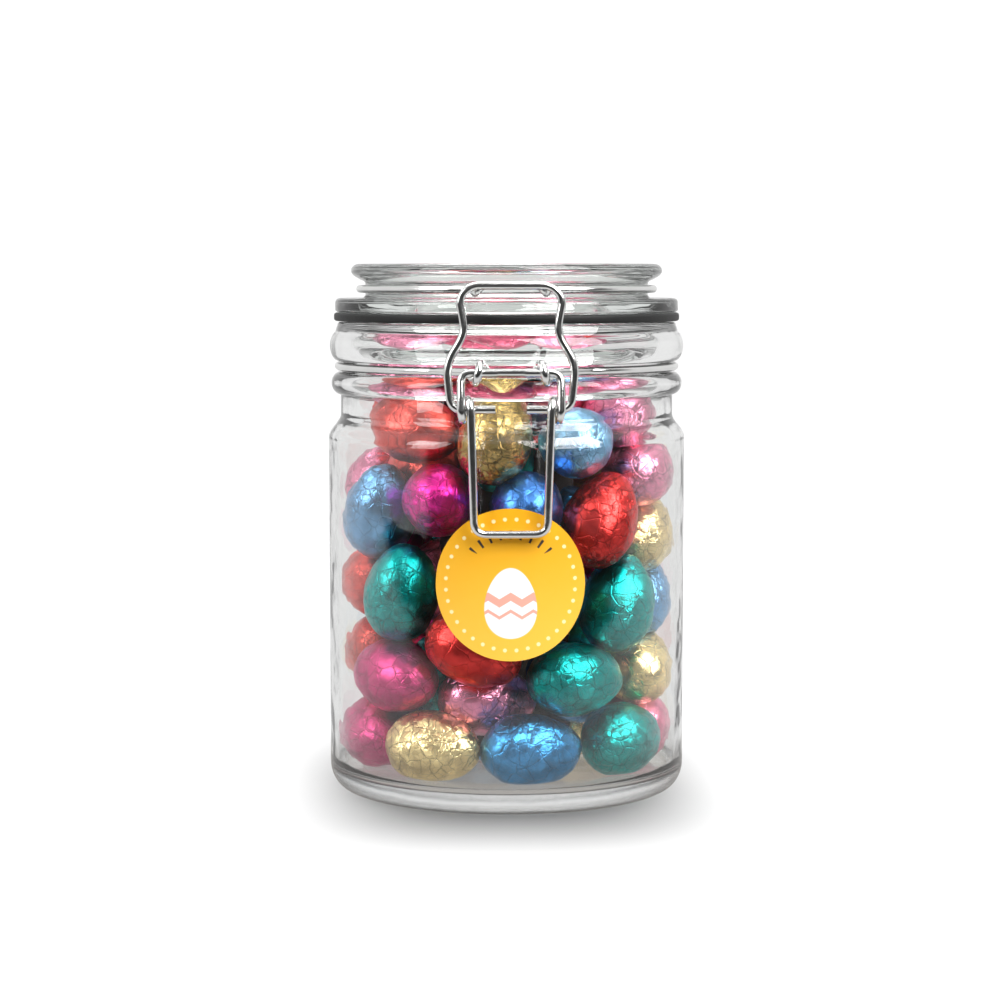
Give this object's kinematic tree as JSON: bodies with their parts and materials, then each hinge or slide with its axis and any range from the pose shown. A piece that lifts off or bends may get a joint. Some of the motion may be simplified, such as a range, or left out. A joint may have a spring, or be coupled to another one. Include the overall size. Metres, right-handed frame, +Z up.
{
  "type": "clip-top glass jar of foil-wrapped chocolate eggs",
  "caption": "Clear glass storage jar with a wire clasp, hinged glass lid and rubber seal, filled with small foil-wrapped chocolate eggs.",
  "frame": {"origin": "centre of the jar's flat foot, on the surface it stands on", "axes": "+Z up along the jar's own axis; the clasp and sticker face -Y, the lid's hinge is on the +Y side"},
  "size_m": [0.1, 0.1146, 0.1472],
  "materials": {
    "jar_glass": "clear polished glass",
    "lid_glass": "clear pressed glass",
    "foil": "coloured crinkled foil",
    "wire": "bright drawn steel wire",
    "rubber": "soft black rubber",
    "sticker": "coated paper, slightly glossy"
  },
  "bodies": {
    "jar": {"jar_glass": "jar_glass", "eggs": "foil", "label": "sticker", "neck_ring": "wire"},
    "lid": {"lid_glass": "lid_glass", "gasket": "rubber", "lid_ring": "wire"},
    "lever": {"lever": "wire"},
    "link": {"link": "wire"}
  },
  "joints": [
    {"name": "lid_hinge", "type": "hinge", "parent": "jar", "child": "lid", "pos_m": [0, 0.0537, 0.1187], "axis": [-1, 0, 0], "range_deg": [0, 110]},
    {"name": "lever_pivot", "type": "hinge", "parent": "jar", "child": "lever", "pos_m": [0, -0.0537, 0.1187], "axis": [-1, 0, 0], "range_deg": [0, 115]},
    {"name": "link_pivot", "type": "hinge", "parent": "lever", "child": "link", "pos_m": [0, -0.053, 0.109], "axis": [-1, 0, 0], "range_deg": [-150, 0]}
  ],
  "couplings": [
    {"joint": "link_pivot", "follows": "lever_pivot", "ratio": -1.3}
  ]
}
